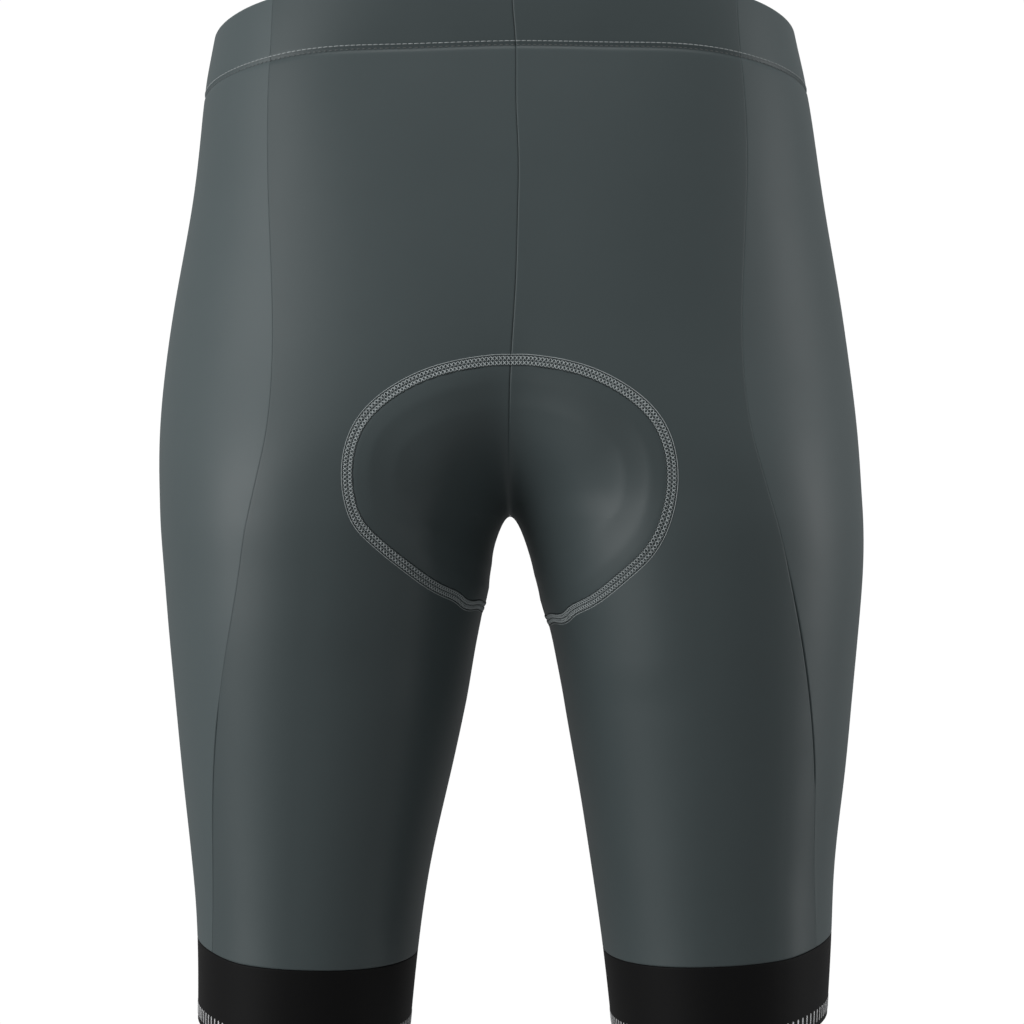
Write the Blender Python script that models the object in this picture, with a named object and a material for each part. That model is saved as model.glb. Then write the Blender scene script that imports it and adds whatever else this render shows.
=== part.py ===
"""Cycling shorts as they stand when worn: a hollow garment of six panels, two leg bands and a seat pad.

Metres, +Z up. The back faces -Y and the wearer's right side is +X. The origin is the middle of the waist, level
with the casing's top edge at the sides.

The cloth lies on one smooth surface, the figure. Each half of it is a stack of level rounded ovals. Below the
crotch the two halves are separate legs. Above it their ovals slide into each other until they are one oval at the
waist. To keep the place where they meet round, an oval isn't drawn over the distance x from the middle plane but
over X, where X squared is x squared plus the square of a small fillet radius.
"""
import math
from collections import namedtuple

import bmesh
import bpy
import numpy as np

for leftover in list(bpy.data.objects):
    bpy.data.objects.remove(leftover)

# Heights, from the top of the casing at the side
CROTCH_Z = -0.247
CASING = 0.030
BAND_SEAM_Z = -0.470
HEM_Z = -0.513

# Cloth
SEAM_GAP = 0.0003
CLOTH = 0.0015
CASING_WALL = 0.0030
BAND_WALL = 0.0018

# The figure's level sections: distance of the outer side from the middle plane, half the gap between the legs, how
# far the two halves' ovals stand apart (1 where the legs touch, 0 where they are one oval), and how far the back and
# the front stand from the oval's own middle, which moves forward down the leg.
Section = namedtuple("Section", "height side gap apart back front middle")
SECTIONS = (
    Section(0.015, 0.1505, 0.0, 0.000, 0.0880, 0.0870, 0.000),
    Section(-0.030, 0.1567, 0.0, 0.008, 0.0935, 0.0925, 0.000),
    Section(-0.083, 0.1633, 0.0, 0.030, 0.1005, 0.0965, 0.000),
    Section(-0.135, 0.1724, 0.0, 0.090, 0.1070, 0.0980, 0.000),
    Section(-0.170, 0.1775, 0.0, 0.240, 0.1100, 0.0978, 0.000),
    Section(-0.205, 0.1810, 0.0, 0.570, 0.1118, 0.0962, 0.000),
    Section(-0.227, 0.1819, 0.0, 0.830, 0.1115, 0.0950, 0.000),
    Section(-0.247, 0.1823, 0.0, 1.000, 0.1105, 0.0935, 0.000),
    Section(-0.274, 0.1816, 0.0116, 1.0, 0.1075, 0.0910, 0.001),
    Section(-0.301, 0.1794, 0.0174, 1.0, 0.1030, 0.0885, 0.002),
    Section(-0.343, 0.1758, 0.0255, 1.0, 0.0945, 0.0840, 0.005),
    Section(-0.384, 0.1716, 0.0338, 1.0, 0.0855, 0.0790, 0.008),
    Section(-0.426, 0.1672, 0.0419, 1.0, 0.0770, 0.0730, 0.010),
    Section(-0.468, 0.1648, 0.0478, 1.0, 0.0710, 0.0690, 0.012),
    Section(-0.525, 0.1628, 0.0535, 1.0, 0.0670, 0.0665, 0.014),
)
SQUARENESS = 2.2
FILLET_CROTCH = 0.005
FILLET_GROWTH = 0.059

# The casing's top edge: how far it stands over the origin, by the angle from the side, negative to the back.
WaistPoint = namedtuple("WaistPoint", "angle rise")
WAIST_LINE = (
    WaistPoint(-90, 0.0145),
    WaistPoint(-55, 0.0140),
    WaistPoint(-25, 0.0067),
    WaistPoint(0, 0.0),
    WaistPoint(30, -0.0085),
    WaistPoint(60, -0.0200),
    WaistPoint(90, -0.0260),
)
HEM_LIFT_OUTSIDE = 0.0032
HEM_LIFT_FRONT = 0.0039

# The side panel's edges, as distances along the cloth from the side line.
SideEdge = namedtuple("SideEdge", "height to_back to_front")
SIDE_PANEL = (
    SideEdge(0.015, 0.0770, 0.067),
    SideEdge(-0.030, 0.0860, 0.074),
    SideEdge(-0.083, 0.0960, 0.083),
    SideEdge(-0.130, 0.1105, 0.095),
    SideEdge(-0.180, 0.1245, 0.107),
    SideEdge(-0.210, 0.1290, 0.110),
    SideEdge(-0.240, 0.1250, 0.107),
    SideEdge(-0.272, 0.1150, 0.099),
    SideEdge(-0.306, 0.1010, 0.088),
    SideEdge(-0.343, 0.0845, 0.075),
    SideEdge(-0.415, 0.0600, 0.055),
    SideEdge(-0.470, 0.0475, 0.044),
    SideEdge(-0.525, 0.0400, 0.038),
)

# The seat pad. Its outline is given round a cross axis over the crotch: the angle from straight down, negative to
# the back, and the pad's half width there, measured straight across.
PAD_AXIS_Z = -0.171
PadPoint = namedtuple("PadPoint", "angle half_width")
PAD_OUTLINE = (
    PadPoint(-89.6, 0.0100),
    PadPoint(-87.7, 0.0310),
    PadPoint(-83.0, 0.0530),
    PadPoint(-74.4, 0.0723),
    PadPoint(-62.7, 0.0790),
    PadPoint(-52.0, 0.0722),
    PadPoint(-42.6, 0.0540),
    PadPoint(-31.2, 0.0340),
    PadPoint(-16.0, 0.0222),
    PadPoint(0.0, 0.0175),
    PadPoint(20.0, 0.0240),
    PadPoint(38.0, 0.0370),
    PadPoint(54.0, 0.0480),
    PadPoint(68.0, 0.0470),
    PadPoint(79.0, 0.0350),
    PadPoint(84.0, 0.0200),
    PadPoint(85.5, 0.0100),
)
PAD_CLEARANCE = 0.0009
PAD_MIDDLE = 0.0090
PAD_EDGE = 0.0020
PAD_STEP = 0.0010
LOBE_RISE = 0.0022
LOBE_ANGLE = -64.0
LOBE_ACROSS = 0.029
LOBE_ANGLE_SPREAD = 20.0
LOBE_SPREAD = 0.020

# Mesh density
SWEEP_SAMPLES = 241
FINE_SAMPLES = 90
CROWDING = 1.6
ROW_CROWDING = 2.0
LEG_ROWS = 11
SEAT_ROWS = 13
PAD_ROWS = 34
PAD_COLUMNS = 13
BAND_COLUMNS = 52
BAND_ROWS = 3


def smooth(knots, values, at):
    """A natural cubic spline through the knots, read at the places asked for; straight beyond both ends."""
    order = np.argsort(knots)
    x = np.asarray(knots, float)[order]
    y = np.asarray(values, float)[order]
    step = np.diff(x)
    slope = np.diff(y) / step
    system = np.eye(len(x))
    target = np.zeros(len(x))
    for i in range(1, len(x) - 1):
        system[i, i - 1:i + 2] = step[i - 1], 2 * (step[i - 1] + step[i]), step[i]
        target[i] = 6 * (slope[i] - slope[i - 1])
    bend = np.linalg.solve(system, target)
    at = np.asarray(at, float)
    i = np.clip(np.searchsorted(x, at) - 1, 0, len(step) - 1)
    right = np.clip((at - x[i]) / step[i], 0, 1)
    left = 1 - right
    inside = left * y[i] + right * y[i + 1]
    inside += ((left ** 3 - left) * bend[i] + (right ** 3 - right) * bend[i + 1]) * step[i] ** 2 / 6
    first = slope[0] - step[0] * bend[1] / 6
    last = slope[-1] + step[-1] * bend[-2] / 6
    return inside + first * np.minimum(at - x[0], 0) + last * np.maximum(at - x[-1], 0)


def column(table, key, value, at):
    """One column of a table, smoothed over another."""
    return smooth([getattr(row, key) for row in table], [getattr(row, value) for row in table], at)


def ease(share):
    """0 to 1 with level ends."""
    share = np.clip(share, 0, 1)
    return share * share * (3 - 2 * share)


def section(z):
    """The half oval at a height: its middle and half width over X, the fillet, and its back, front and middle in y."""
    side = column(SECTIONS, "height", "side", z)
    legs = [row for row in SECTIONS if row.height <= CROTCH_Z]
    seat = [row for row in SECTIONS if row.height >= CROTCH_Z]
    gap_squared = smooth([row.height for row in legs], [row.gap ** 2 for row in legs], np.minimum(z, CROTCH_Z))
    apart = np.clip(column(seat, "height", "apart", np.maximum(z, CROTCH_Z)), 0, 1)
    fillet = FILLET_CROTCH + FILLET_GROWTH * ease((z - CROTCH_Z) / -CROTCH_Z)
    outer = np.sqrt(side ** 2 + fillet ** 2)
    inner_leg = np.sqrt(np.maximum(gap_squared, 0) + fillet ** 2)
    inner = np.where(z < CROTCH_Z, inner_leg, fillet - (outer - fillet) * (1 - apart) / (1 + apart))
    back = column(SECTIONS, "height", "back", z)
    front = column(SECTIONS, "height", "front", z)
    middle = column(SECTIONS, "height", "middle", z)
    return (outer + inner) / 2, (outer - inner) / 2, fillet, back, front, middle


def seam_angle(z):
    """The angle at which the half oval meets the middle plane, or half a turn on a leg."""
    centre, half, fillet, _, _, _ = section(z)
    share = np.clip((centre - fillet) / half, 0, 1)
    return np.arccos(-share ** (SQUARENESS / 2))


def figure_point(angle, z):
    """The figure at an angle from the side line, negative to the back, and a height."""
    centre, half, fillet, back, front, middle = section(z)
    power = 2 / SQUARENESS
    cosine, sine = np.cos(angle), np.sin(angle)
    over = centre + half * np.sign(cosine) * np.abs(cosine) ** power
    depth = np.where(angle < 0, back, front)
    x = np.sqrt(np.maximum(over ** 2 - fillet ** 2, 0))
    y = middle + depth * np.sign(sine) * np.abs(sine) ** power
    return np.stack([x, y, z + 0 * x], axis=-1)


def inside_measure(x, y, z):
    """Under 1 inside the figure, 1 on it and over 1 outside it."""
    centre, half, fillet, back, front, middle = section(z)
    over = np.sqrt(x ** 2 + fillet ** 2)
    depth = np.where(y < middle, back, front)
    return np.abs((over - centre) / half) ** SQUARENESS + np.abs((y - middle) / depth) ** SQUARENESS


def outward(points):
    """The outward direction: the way in which the inside measure grows fastest."""
    x, y, z = points[..., 0], points[..., 1], points[..., 2]
    nudge = 0.0002
    grow = [
        inside_measure(x + nudge, y, z) - inside_measure(np.abs(x - nudge), y, z),
        inside_measure(x, y + nudge, z) - inside_measure(x, y - nudge, z),
        inside_measure(x, y, z + nudge) - inside_measure(x, y, z - nudge),
    ]
    direction = np.stack(grow, axis=-1)
    direction[..., 0] = np.where(x < nudge / 4, 0, direction[..., 0])
    return direction / np.linalg.norm(direction, axis=-1, keepdims=True)


def pad_half_width(angle):
    """The pad's half width straight across at an angle round its axis; the outline is splined along its own run."""
    run = np.arange(len(PAD_OUTLINE))
    fine = np.linspace(0, len(PAD_OUTLINE) - 1, 400)
    angles = smooth(run, [point.angle for point in PAD_OUTLINE], fine)
    widths = smooth(run, [point.half_width for point in PAD_OUTLINE], fine)
    angles = np.maximum.accumulate(angles)
    return np.interp(angle, angles, widths, left=0, right=0)


def pad_relief(points):
    """How far the pad lifts the cloth: a low step inside its outline and one soft lobe on each side of the seam."""
    x, y, z = points[..., 0], points[..., 1], points[..., 2]
    angle = np.degrees(np.arctan2(y, PAD_AXIS_Z - z))
    width = pad_half_width(angle)
    step = PAD_STEP * ease((width - x) / 0.008)
    away = ((angle - LOBE_ANGLE) / LOBE_ANGLE_SPREAD) ** 2 + ((x - LOBE_ACROSS) / LOBE_SPREAD) ** 2
    return step + LOBE_RISE * np.exp(-away) * ease((width - x) / 0.02)


def shell_point(base, depth):
    """A figure point with the pad's relief, moved in by a depth under the cloth's outer face."""
    way = outward(base)
    lift = pad_relief(base) - depth
    moved = base + way * np.asarray(lift)[..., None]
    moved[..., 0] = np.maximum(moved[..., 0], SEAM_GAP / 2)
    return moved


def row_height(level, angle):
    """A level moved with the waist line near the top and with the leg band's tilt near the hem."""
    turn = np.clip(np.degrees(angle), -90, 90)
    waist = column(WAIST_LINE, "angle", "rise", turn)
    hem = HEM_LIFT_OUTSIDE * np.cos(angle) + HEM_LIFT_FRONT * np.sin(angle)
    up = np.clip((level - CROTCH_Z) / (-CASING - CROTCH_Z), 0, 1) ** 1.5
    down = np.clip((CROTCH_Z - level) / (CROTCH_Z - BAND_SEAM_Z), 0, 1) ** 1.5
    return level + waist * up + hem * down


def row_points(level, share):
    """Points of one row of a half, by a share from -1 at the back seam over 0 at the side to 1 at the front seam.

    The angle moves slowest at the seams, because the fillet makes x there grow as the root of the angle."""
    turn = np.sign(share) * (1 - (1 - np.abs(share)) ** 2)
    height = level + 0 * share
    for _ in range(4):
        angle = turn * seam_angle(height)
        height = row_height(level, angle)
    return figure_point(turn * seam_angle(height), height)


def points_along(level, places, columns, crowded=None):
    """Points spread along a row between two distances from its back seam; places gives them from the row's length."""
    share = np.linspace(-1, 1, SWEEP_SAMPLES)
    fine = row_points(level, share)
    distance = np.concatenate([[0], np.cumsum(np.linalg.norm(np.diff(fine, axis=0), axis=1))])
    start, end = places(level, distance[SWEEP_SAMPLES // 2], distance[-1])
    spacing = np.linspace(0, 1, columns + 1)
    if crowded == "start":
        spacing = spacing ** CROWDING
    if crowded == "end":
        spacing = 1 - (1 - spacing) ** CROWDING
    return row_points(level, np.interp(start + (end - start) * spacing, distance, share))


def back_places(level, side, whole):
    """The back panel's two seams on a row, as distances from the back seam."""
    return SEAM_GAP / 2, side - column(SIDE_PANEL, "height", "to_back", level) - SEAM_GAP / 2


def side_places(level, side, whole):
    """The side panel's two seams."""
    to_back = column(SIDE_PANEL, "height", "to_back", level)
    to_front = column(SIDE_PANEL, "height", "to_front", level)
    return side - to_back + SEAM_GAP / 2, side + to_front - SEAM_GAP / 2


def front_places(level, side, whole):
    """The front panel's two seams."""
    return side + column(SIDE_PANEL, "height", "to_front", level) + SEAM_GAP / 2, whole - SEAM_GAP / 2


def whole_row(level, side, whole):
    """A leg band's whole way round, from the inseam to the inseam."""
    return 0.0, whole


def levels():
    """The panels' rows: close together at the crotch, where the seams turn, and at the casing's stitching."""
    drop = CROTCH_Z - (BAND_SEAM_Z + SEAM_GAP / 2)
    rise = -CASING - CROTCH_Z
    legs = [CROTCH_Z - drop * (i / LEG_ROWS) ** ROW_CROWDING for i in range(LEG_ROWS, 0, -1)]
    seat = [CROTCH_Z + rise * (i / SEAT_ROWS) ** ROW_CROWDING for i in range(SEAT_ROWS + 1)]
    casing = [-CASING + 0.0015, -CASING / 2, 0.0]
    return legs + seat + casing


def panel_wall(level):
    """A panel's thickness: single cloth, and in the casing two layers round the elastic."""
    return CASING_WALL if level > -CASING + 0.001 else CLOTH


def band_wall(level):
    """A leg band's thickness, the same all over."""
    return BAND_WALL


def add_shell(name, outer, inner, material, ring=False, mirrored=False):
    """A closed wall between two grids of points, its rows closed to a ring or ending in edges."""
    if mirrored:
        outer, inner = outer * [-1, 1, 1], inner * [-1, 1, 1]
    rows, columns = outer.shape[:2]
    number = np.arange(rows * columns).reshape(rows, columns)
    if ring:
        number = np.concatenate([number, number[:, :1]], axis=1)
    far = number + rows * columns
    faces = []
    for i in range(rows - 1):
        for j in range(number.shape[1] - 1):
            corner = (i, j), (i, j + 1), (i + 1, j + 1), (i + 1, j)
            faces.append([number[c] for c in corner])
            faces.append([far[c] for c in reversed(corner)])
    edges = [number[0], number[-1]] if ring else [number[0], number[-1], number[:, 0], number[:, -1]]
    for edge in edges:
        opposite = edge + rows * columns
        faces += [[edge[k], edge[k + 1], opposite[k + 1], opposite[k]] for k in range(len(edge) - 1)]
    mesh = bpy.data.meshes.new(name)
    points = np.concatenate([outer.reshape(-1, 3), inner.reshape(-1, 3)])
    mesh.from_pydata(points.tolist(), [], [[int(v) for v in face] for face in faces])
    form = bmesh.new()
    form.from_mesh(mesh)
    bmesh.ops.recalc_face_normals(form, faces=form.faces)
    bmesh.ops.triangulate(form, faces=form.faces)
    form.to_mesh(mesh)
    form.free()
    mesh.shade_smooth()
    mesh.set_sharp_from_angle(angle=math.radians(40))
    mesh.materials.append(material)
    piece = bpy.data.objects.new(name, mesh)
    bpy.context.scene.collection.objects.link(piece)
    return piece


def cloth_material(name, colour, roughness):
    """A plain cloth of one colour."""
    material = bpy.data.materials.new(name)
    material.use_nodes = True
    shader = material.node_tree.nodes["Principled BSDF"]
    shader.inputs["Base Color"].default_value = (*colour, 1)
    shader.inputs["Roughness"].default_value = roughness
    shader.inputs["Metallic"].default_value = 0
    return material


def wall_grids(rows, places, columns, wall, crowded=None):
    """The outer and inner points of a piece of cloth, one row for each level."""
    base = [points_along(level, places, columns, crowded) for level in rows]
    outer = [shell_point(row, 0 * row[:, 0]) for row in base]
    inner = [shell_point(row, wall(level) + 0 * row[:, 0]) for level, row in zip(rows, base)]
    return np.array(outer), np.array(inner)


def add_panels():
    """Back, side and front panels, each made once and mirrored for the left half."""
    grey = cloth_material("grey_satin_cloth", (0.085, 0.104, 0.107), 0.5)
    light_grey = cloth_material("light_grey_satin_cloth", (0.098, 0.119, 0.122), 0.5)
    cuts = (
        ("back", back_places, 17, "start", grey),
        ("side", side_places, 12, None, light_grey),
        ("front", front_places, 15, "end", grey),
    )
    for name, places, columns, crowded, material in cuts:
        outer, inner = wall_grids(levels(), places, columns, panel_wall, crowded)
        add_shell(name + "_right", outer, inner, material)
        add_shell(name + "_left", outer, inner, material, mirrored=True)


def add_bands():
    """The leg bands: a ring under the panels of each leg, level with its leg's own lean."""
    black = cloth_material("black_band_cloth", (0.010, 0.010, 0.011), 0.6)
    rows = np.linspace(BAND_SEAM_Z - SEAM_GAP / 2, HEM_Z, BAND_ROWS + 1)
    outer, inner = wall_grids(rows, whole_row, BAND_COLUMNS, band_wall)
    outer, inner = outer[:, :-1], inner[:, :-1]
    add_shell("band_right", outer, inner, black, ring=True)
    add_shell("band_left", outer, inner, black, ring=True, mirrored=True)


def figure_under_pad(angle, across):
    """The figure in the direction of an angle round the pad's axis, at a distance across: halving finds it."""
    near = np.zeros(np.broadcast(angle, across).shape)
    far = near + 0.20
    for _ in range(40):
        reach = (near + far) / 2
        y, z = reach * np.sin(angle), PAD_AXIS_Z - reach * np.cos(angle)
        outside = inside_measure(across, y, z) > 1
        far = np.where(outside, reach, far)
        near = np.where(outside, near, reach)
    return np.stack([across + 0 * near, near * np.sin(angle), PAD_AXIS_Z - near * np.cos(angle)], axis=-1)


def spread(rows, columns):
    """Each row's points, moved along the row: a number of columns, crowded towards the row's start."""
    evened = []
    for row in rows:
        distance = np.concatenate([[0], np.cumsum(np.linalg.norm(np.diff(row, axis=0), axis=1))])
        places = distance[-1] * np.linspace(0, 1, columns + 1) ** CROWDING
        evened.append(np.stack([np.interp(places, distance, row[:, axis]) for axis in range(3)], axis=-1))
    return np.array(evened)


def add_seat_pad():
    """The foam pad: it follows the cloth from the seat under the crotch to the front, thick in its middle."""
    foam = cloth_material("pad_cloth", (0.035, 0.037, 0.040), 0.9)
    run = np.arange(len(PAD_OUTLINE))
    fine = np.linspace(0, len(PAD_OUTLINE) - 1, PAD_ROWS + 1)
    angle = np.radians(smooth(run, [point.angle for point in PAD_OUTLINE], fine))[:, None]
    width = smooth(run, [point.half_width for point in PAD_OUTLINE], fine)[:, None]
    share = np.linspace(0, 1, PAD_COLUMNS + 1)[None, :]
    base = spread(figure_under_pad(angle, width * np.linspace(0, 1, FINE_SAMPLES)), PAD_COLUMNS)
    edge = np.minimum(share, 1) ** 3
    ends = np.clip(np.minimum(np.arange(PAD_ROWS + 1), PAD_ROWS - np.arange(PAD_ROWS + 1)) / 5, 0, 1)[:, None]
    thick = PAD_EDGE + (PAD_MIDDLE - PAD_EDGE) * (1 - edge) * ease(ends)
    way = outward(base)
    lift = pad_relief(base) * ease(ends) - CLOTH - PAD_CLEARANCE
    outer = base + way * lift[..., None]
    inner = base + way * (lift - thick)[..., None]
    both = [np.concatenate([(grid * [-1, 1, 1])[:, :0:-1], grid], axis=1) for grid in (outer, inner)]
    add_shell("seat_pad", both[0], both[1], foam)


add_panels()
add_bands()
add_seat_pad()
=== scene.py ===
"""Cycling shorts as they stand when worn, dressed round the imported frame.

Metres, +Z up. The back faces -Y and the wearer's right side is +X. The cloth lies on one smooth surface,
the figure. Each half of it is a stack of level rounded ovals, which are two legs below the crotch and one
oval at the waist. An oval is drawn over X, where X squared is x squared plus the square of a small fillet
radius, so the place where the halves meet is round. Every piece here is made from points of that surface,
moved out or in along its own normal.
"""
import math
from collections import namedtuple

import bpy
import numpy as np
from bpy.props import FloatProperty, FloatVectorProperty, PointerProperty
from mathutils import Matrix, Vector


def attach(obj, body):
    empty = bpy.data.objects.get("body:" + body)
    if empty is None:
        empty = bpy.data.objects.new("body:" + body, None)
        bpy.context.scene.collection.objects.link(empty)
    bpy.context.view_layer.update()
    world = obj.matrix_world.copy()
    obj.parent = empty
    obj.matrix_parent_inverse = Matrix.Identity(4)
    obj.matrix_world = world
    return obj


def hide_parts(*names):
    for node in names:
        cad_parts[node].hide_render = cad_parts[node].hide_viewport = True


bl_info = {
    "name": "Cycling shorts",
    "version": (1, 0, 0),
    "blender": (4, 5, 0),
    "location": "3D View > Sidebar > Shorts",
    "description": "Panels, leg bands, seat pad and sewing of a pair of cycling shorts in their worn form",
    "category": "Add Mesh",
}

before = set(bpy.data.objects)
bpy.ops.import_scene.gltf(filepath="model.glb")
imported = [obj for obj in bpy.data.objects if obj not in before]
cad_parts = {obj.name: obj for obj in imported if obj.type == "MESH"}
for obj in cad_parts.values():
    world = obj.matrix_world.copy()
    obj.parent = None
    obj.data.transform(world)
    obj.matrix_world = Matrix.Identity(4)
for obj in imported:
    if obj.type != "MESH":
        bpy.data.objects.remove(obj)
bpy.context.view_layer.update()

# Heights, from the top of the casing at the side
CROTCH_Z = -0.247
CASING = 0.030
BAND_SEAM_Z = -0.470
HEM_Z = -0.513
SEAM_GAP = 0.00003

# The figure's level sections: distance of the outer side from the middle plane, half the gap between the
# legs, how far the two halves' ovals stand apart (1 where the legs touch, 0 where they are one oval), and
# how far the back and the front stand from the oval's own middle, which moves forward down the leg.
Section = namedtuple("Section", "height side gap apart back front middle")
SECTIONS = (
    Section(0.015, 0.1505, 0.0, 0.000, 0.0880, 0.0870, 0.000),
    Section(-0.030, 0.1567, 0.0, 0.008, 0.0935, 0.0925, 0.000),
    Section(-0.083, 0.1633, 0.0, 0.030, 0.1005, 0.0965, 0.000),
    Section(-0.135, 0.1724, 0.0, 0.090, 0.1070, 0.0980, 0.000),
    Section(-0.170, 0.1775, 0.0, 0.240, 0.1100, 0.0978, 0.000),
    Section(-0.205, 0.1810, 0.0, 0.570, 0.1118, 0.0962, 0.000),
    Section(-0.227, 0.1819, 0.0, 0.850, 0.1115, 0.0950, 0.000),
    Section(-0.237, 0.1821, 0.0, 0.944, 0.1110, 0.0943, 0.000),
    Section(-0.247, 0.1823, 0.0, 1.000, 0.1105, 0.0935, 0.000),
    Section(-0.274, 0.1816, 0.0116, 1.0, 0.1075, 0.0910, 0.001),
    Section(-0.301, 0.1794, 0.0174, 1.0, 0.1030, 0.0885, 0.002),
    Section(-0.343, 0.1758, 0.0255, 1.0, 0.0945, 0.0840, 0.005),
    Section(-0.384, 0.1716, 0.0338, 1.0, 0.0855, 0.0790, 0.008),
    Section(-0.426, 0.1672, 0.0419, 1.0, 0.0770, 0.0730, 0.010),
    Section(-0.468, 0.1648, 0.0478, 1.0, 0.0710, 0.0690, 0.012),
    Section(-0.525, 0.1628, 0.0535, 1.0, 0.0670, 0.0665, 0.014),
)
SQUARENESS = 2.2
FILLET_CROTCH = 0.005
FILLET_GROWTH = 0.059

# The casing's top edge: how far it stands over the origin, by the angle from the side, negative to the back.
WaistPoint = namedtuple("WaistPoint", "angle rise")
WAIST_LINE = (
    WaistPoint(-90, 0.0145),
    WaistPoint(-55, 0.0140),
    WaistPoint(-25, 0.0067),
    WaistPoint(0, 0.0),
    WaistPoint(30, -0.0085),
    WaistPoint(60, -0.0200),
    WaistPoint(90, -0.0260),
)
HEM_LIFT_OUTSIDE = 0.0032
HEM_LIFT_FRONT = 0.0039
# How fast a row takes on the tilt of the waist or the hem on its way from the crotch
TILT_POWER = 1.5

# The side panel's edges, as distances along the cloth from the side line.
SideEdge = namedtuple("SideEdge", "height to_back to_front")
SIDE_PANEL = (
    SideEdge(0.015, 0.0770, 0.067),
    SideEdge(-0.030, 0.0860, 0.074),
    SideEdge(-0.083, 0.0960, 0.083),
    SideEdge(-0.130, 0.1105, 0.095),
    SideEdge(-0.180, 0.1245, 0.107),
    SideEdge(-0.210, 0.1290, 0.110),
    SideEdge(-0.240, 0.1250, 0.107),
    SideEdge(-0.272, 0.1150, 0.099),
    SideEdge(-0.306, 0.1010, 0.088),
    SideEdge(-0.343, 0.0845, 0.075),
    SideEdge(-0.415, 0.0600, 0.055),
    SideEdge(-0.470, 0.0475, 0.044),
    SideEdge(-0.525, 0.0400, 0.038),
)

# The seat pad's outline round a cross axis over the crotch: the angle from straight down, negative to the
# back, and the pad's half width there, measured straight across. Its first and last points lie on the
# centre seams.
PAD_AXIS_Z = -0.171
PadPoint = namedtuple("PadPoint", "angle half_width")
PAD_OUTLINE = (
    PadPoint(-89.75, 0.0),
    PadPoint(-89.6, 0.0100),
    PadPoint(-87.7, 0.0310),
    PadPoint(-83.0, 0.0530),
    PadPoint(-74.4, 0.0723),
    PadPoint(-62.7, 0.0790),
    PadPoint(-52.0, 0.0722),
    PadPoint(-42.6, 0.0540),
    PadPoint(-31.2, 0.0343),
    PadPoint(-24.0, 0.0266),
    PadPoint(-16.0, 0.0205),
    PadPoint(-8.0, 0.0176),
    PadPoint(0.0, 0.0167),
    PadPoint(8.0, 0.0174),
    PadPoint(16.0, 0.0205),
    PadPoint(26.0, 0.0272),
    PadPoint(38.0, 0.0370),
    PadPoint(54.0, 0.0480),
    PadPoint(68.0, 0.0470),
    PadPoint(79.0, 0.0350),
    PadPoint(84.0, 0.0200),
    PadPoint(85.5, 0.0100),
    PadPoint(85.7, 0.0),
)
PAD_CLEARANCE = 0.0009
PAD_MIDDLE = 0.0090
PAD_EDGE = 0.0020
PAD_STEP = 0.0007
PAD_STEP_RUN = 0.003
PAD_REACH = 0.20
# The channels pressed into the pad, at shares of its half width
Channel = namedtuple("Channel", "share depth spread")
PAD_CHANNELS = (Channel(0.12, 0.0025, 0.06), Channel(0.62, 0.0022, 0.05))

# Inside the pad's flat border the worn cloth falls in at two faint creases: how far each lies inside the
# outline, how deep the cloth falls in the end, and over what distance. They run out in an oval round a
# point under the crotch.
Crease = namedtuple("Crease", "inside depth run")
PAD_CREASES = (Crease(0.0105, 0.0016, 0.008), Crease(0.0235, 0.0026, 0.014))
NO_CREASE_Z = CROTCH_Z - 0.005
NO_CREASE_ACROSS = 0.022
NO_CREASE_UP = 0.024
# The soft lobe on each side of the seat: its rise, its place by angle and across, and its spread both ways
LOBE_RISE = 0.0016
LOBE_RUN = 0.012
LOBE_ANGLE = -62.0
LOBE_ACROSS = 0.036
LOBE_ANGLE_SPREAD = 18.0
LOBE_SPREAD = 0.016

# The casing is drawn in along a line just under its lower stitches and slightly full over them
CASING_DRAWN = 0.0006
CASING_DRAWN_BELOW = 0.0010
CASING_DRAWN_SPREAD = 0.0013
CASING_FULL = 0.0004

# The hollow at the small of the back, how fast it fades downwards, and where it ends at the sides
LUMBAR_HOLLOW = 0.0044
LUMBAR_FADE = 0.050
LUMBAR_SIDE = 0.120
LUMBAR_SIDE_RUN = 0.075

# How far the worn cloth stands from the even figure, along X: at the outer and the inner edge of the left
# and the right leg, or at both sides of the waist and hip, where the inner ones are nothing.
WornShift = namedtuple("WornShift", "height left_outer left_inner right_inner right_outer")
WORN_SHIFTS = (
    WornShift(0.015, 0.0018, 0.0, 0.0, -0.0030),
    WornShift(-0.006, 0.0016, 0.0, 0.0, -0.0029),
    WornShift(-0.024, 0.0006, 0.0, 0.0, -0.0014),
    WornShift(-0.050, 0.0005, 0.0, 0.0, -0.0002),
    WornShift(-0.135, 0.0001, 0.0, 0.0, -0.0010),
    WornShift(-0.187, 0.0000, 0.0, 0.0, -0.0014),
    WornShift(-0.243, 0.0016, 0.0, 0.0, -0.0003),
    WornShift(-0.252, 0.0020, 0.0, 0.0, 0.0000),
    WornShift(-0.270, 0.0026, 0.0019, 0.0000, 0.0005),
    WornShift(-0.301, 0.0022, 0.0025, 0.0024, 0.0008),
    WornShift(-0.343, 0.0017, 0.0019, 0.0017, 0.0006),
    WornShift(-0.384, 0.0007, 0.0009, 0.0002, 0.0009),
    WornShift(-0.426, 0.0001, -0.0008, -0.0016, 0.0005),
    WornShift(-0.468, -0.0002, -0.0017, -0.0018, 0.0010),
    WornShift(-0.509, -0.0020, -0.0021, -0.0017, 0.0001),
)
# The centre back seam's way off the middle plane, by height
BACK_SEAM_DRIFT = (
    (0.020, 0.0030), (0.003, 0.0036), (-0.016, 0.0048), (-0.045, 0.0048), (-0.074, 0.0057), (-0.094, 0.0052),
    (-0.132, 0.0038), (-0.162, 0.0017), (-0.181, 0.0006), (-0.210, -0.0002), (-0.235, -0.0005), (-0.300, 0.0),
)
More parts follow.
